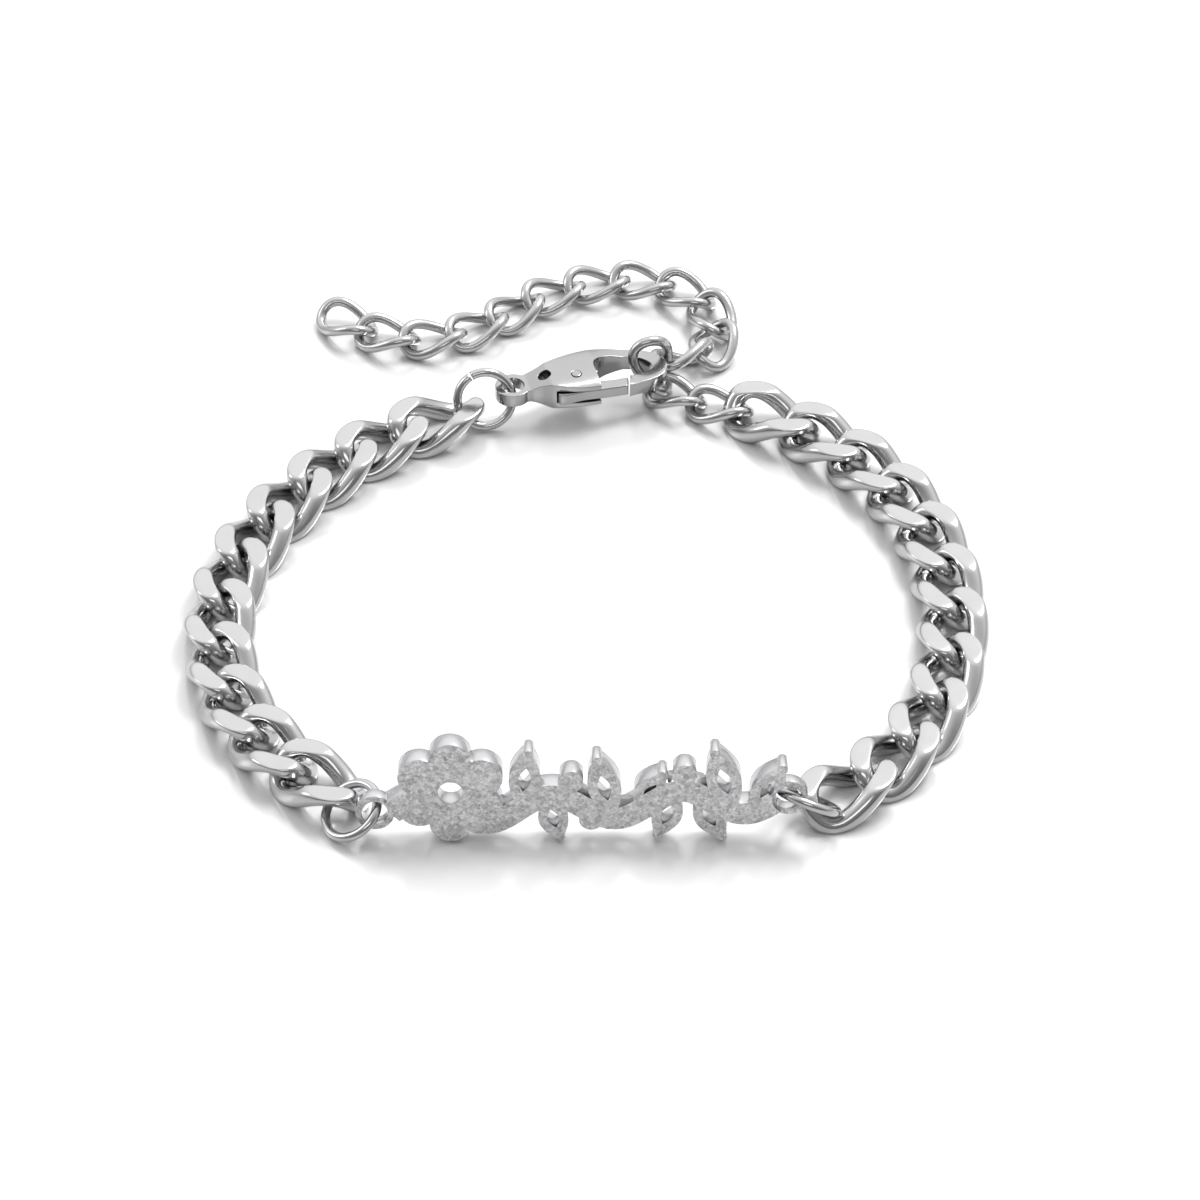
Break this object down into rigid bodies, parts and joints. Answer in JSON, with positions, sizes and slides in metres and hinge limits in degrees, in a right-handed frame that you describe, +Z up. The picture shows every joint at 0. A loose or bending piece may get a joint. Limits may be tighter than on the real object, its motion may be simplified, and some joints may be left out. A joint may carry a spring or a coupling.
{
  "type": "cuban link bracelet",
  "caption": "Bracelet of heavy curb chain with a pierced scroll plate, jump rings, a lobster clasp and a thin extender chain, laid closed in a ring.",
  "frame": {"origin": "on the surface under the middle of the laid bracelet's bounding box", "axes": "+Z up from the surface, the scroll plate towards -Y, the clasp and extender towards +Y"},
  "size_m": [0.0557, 0.062, 0.0077],
  "materials": {
    "heavy_links": "polished stainless steel with ground flat faces",
    "extender_links": "polished stainless steel wire",
    "scroll_plate": "sandblasted stainless steel front with bright cut edges",
    "jump_rings": "polished stainless steel wire",
    "clasp": "polished stainless steel"
  },
  "bodies": {
    "bracelet": {"left_link_01": "heavy_links", "left_link_02": "heavy_links", "left_link_03": "heavy_links", "left_link_04": "heavy_links", "left_link_05": "heavy_links", "left_link_06": "heavy_links", "left_link_07": "heavy_links", "left_link_08": "heavy_links", "left_link_09": "heavy_links", "left_link_10": "heavy_links", "left_link_11": "heavy_links", "right_link_01": "heavy_links", "right_link_02": "heavy_links", "right_link_03": "heavy_links", "right_link_04": "heavy_links", "right_link_05": "heavy_links", "right_link_06": "heavy_links", "right_link_07": "heavy_links", "right_link_08": "heavy_links", "right_link_09": "heavy_links", "right_link_10": "heavy_links", "right_link_11": "heavy_links", "extender_link_01": "extender_links", "extender_link_02": "extender_links", "extender_link_03": "extender_links", "extender_link_04": "extender_links", "extender_link_05": "extender_links", "extender_link_06": "extender_links", "extender_link_07": "extender_links", "extender_link_08": "extender_links", "extender_link_09": "extender_links", "extender_link_10": "extender_links", "extender_link_11": "extender_links", "extender_link_12": "extender_links", "extender_link_13": "extender_links", "extender_link_14": "extender_links", "extender_link_15": "extender_links", "scroll_plate": "scroll_plate", "left_jump_ring": "jump_rings", "right_jump_ring": "jump_rings", "clasp_jump_ring": "jump_rings", "clasp_body": "clasp", "clasp_pin": "clasp"},
    "lever": {"clasp_lever": "clasp"}
  },
  "joints": [
    {"name": "lever_hinge", "type": "hinge", "parent": "bracelet", "child": "lever", "pos_m": [-0.00074, 0.01476, 0.00258], "axis": [0, 0, 1], "range_deg": [0, 22], "stiffness_Nm_per_rad": 0.0002, "springref_deg": -5.73}
  ]
}
